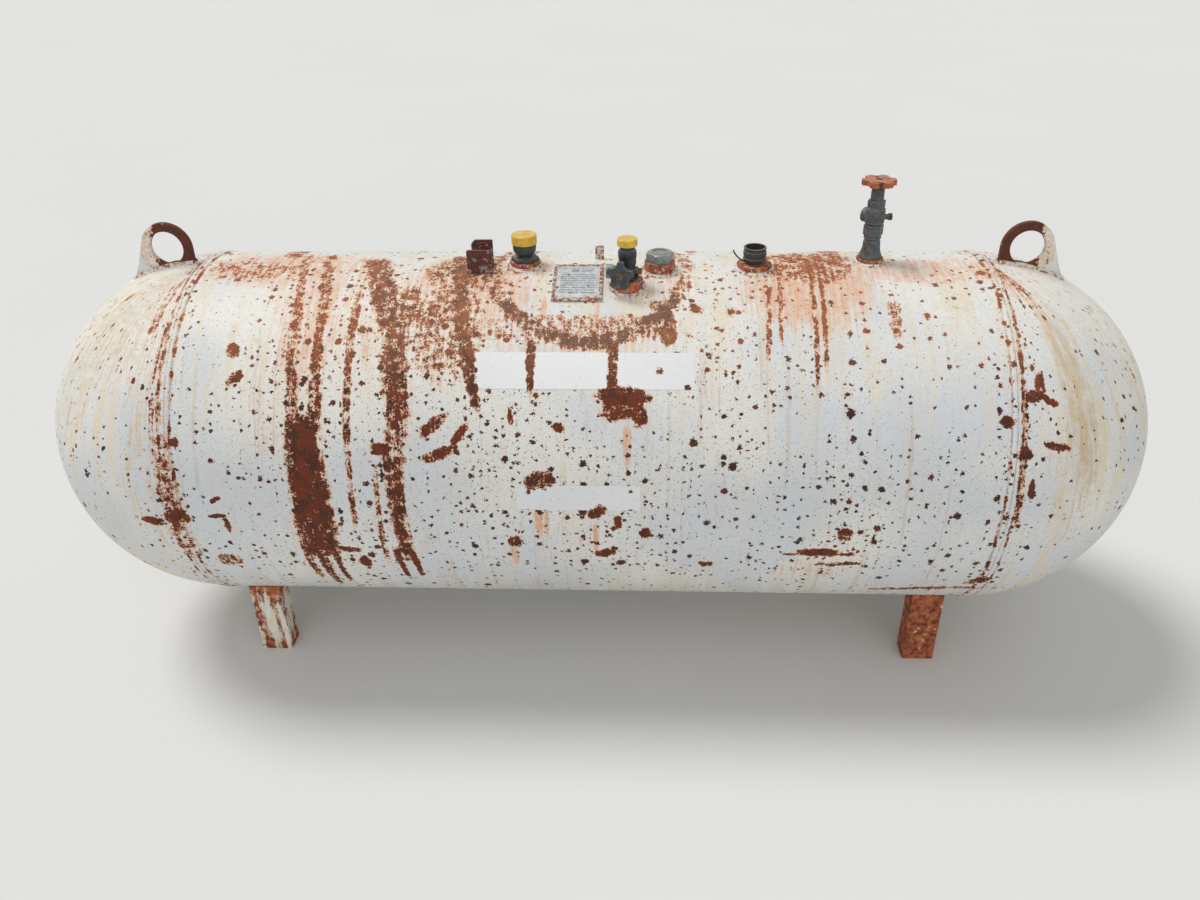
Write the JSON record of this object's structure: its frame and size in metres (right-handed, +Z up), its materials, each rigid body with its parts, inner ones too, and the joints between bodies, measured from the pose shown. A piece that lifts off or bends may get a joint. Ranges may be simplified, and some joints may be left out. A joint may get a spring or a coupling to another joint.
{
  "type": "horizontal pressure tank",
  "caption": "Weathered white horizontal gas pressure tank with round ends on short legs, with lifting lugs, top valves with handwheels, caps, a data plate and welded seams.",
  "frame": {"origin": "on the ground under the middle of the tank", "axes": "+X along the tank's axis towards the end with the stop valve, +Z up, -Y towards the side with the star handwheel"},
  "size_m": [2.388, 0.7672, 1.067],
  "materials": {
    "tank_paint": "chalky white paint with rust chips and streaks",
    "leg_paint": "rusted steel with worn white paint",
    "rusty_steel": "rusted welded steel",
    "plate_grey": "dull weathered plate",
    "bracket_maroon": "dark rust under torn paint",
    "valve_dark": "dark aged brass",
    "cap_yellow": "sun-bleached moulded plastic",
    "zinc_grey": "weathered zinc",
    "wheel_grey": "cast, dull",
    "wheel_orange": "worn red-orange paint over cast metal",
    "tether_black": "weathered rubber"
  },
  "bodies": {
    "tank": {"shell": "tank_paint", "head_left": "tank_paint", "head_right": "tank_paint", "girth_weld_left": "tank_paint", "girth_weld_right": "tank_paint", "long_weld": "tank_paint", "leg_front_left": "leg_paint", "leg_front_right": "leg_paint", "leg_back_left": "leg_paint", "leg_back_right": "leg_paint", "lug_left": "tank_paint", "lug_right": "tank_paint", "plate_frame": "rusty_steel", "data_plate": "plate_grey", "hood_hinge_bracket": "bracket_maroon", "hood_stop_tab": "tank_paint", "fill_coupling": "rusty_steel", "fill_valve": "valve_dark", "fill_cap": "cap_yellow", "service_coupling": "rusty_steel", "service_valve": "valve_dark", "service_cap": "cap_yellow", "service_outlet_plug": "valve_dark", "bleeder_screw": "rusty_steel", "plug_coupling": "rusty_steel", "hex_plug": "zinc_grey", "relief_coupling": "rusty_steel", "relief_valve": "valve_dark", "relief_tether": "tether_black", "stop_coupling": "rusty_steel", "stop_adapter": "valve_dark", "stop_body": "valve_dark", "stop_port_plug": "valve_dark", "stop_bonnet": "valve_dark"},
    "service_handwheel": {"service_stem": "rusty_steel", "service_wheel": "wheel_grey", "service_wheel_screw": "rusty_steel"},
    "stop_handwheel": {"stop_stem": "rusty_steel", "stop_wheel": "wheel_orange", "stop_wheel_screw": "rusty_steel"}
  },
  "joints": [
    {"name": "service_handwheel_turn", "type": "hinge", "parent": "tank", "child": "service_handwheel", "pos_m": [0.08, -0.101, 0.913], "axis": [-0.3407, -0.9361, 0.0872], "range_deg": [0, 900]},
    {"name": "stop_handwheel_turn", "type": "hinge", "parent": "tank", "child": "stop_handwheel", "pos_m": [0.577, 0, 1.011], "axis": [0, 0, 1], "range_deg": [0, 1170]}
  ]
}
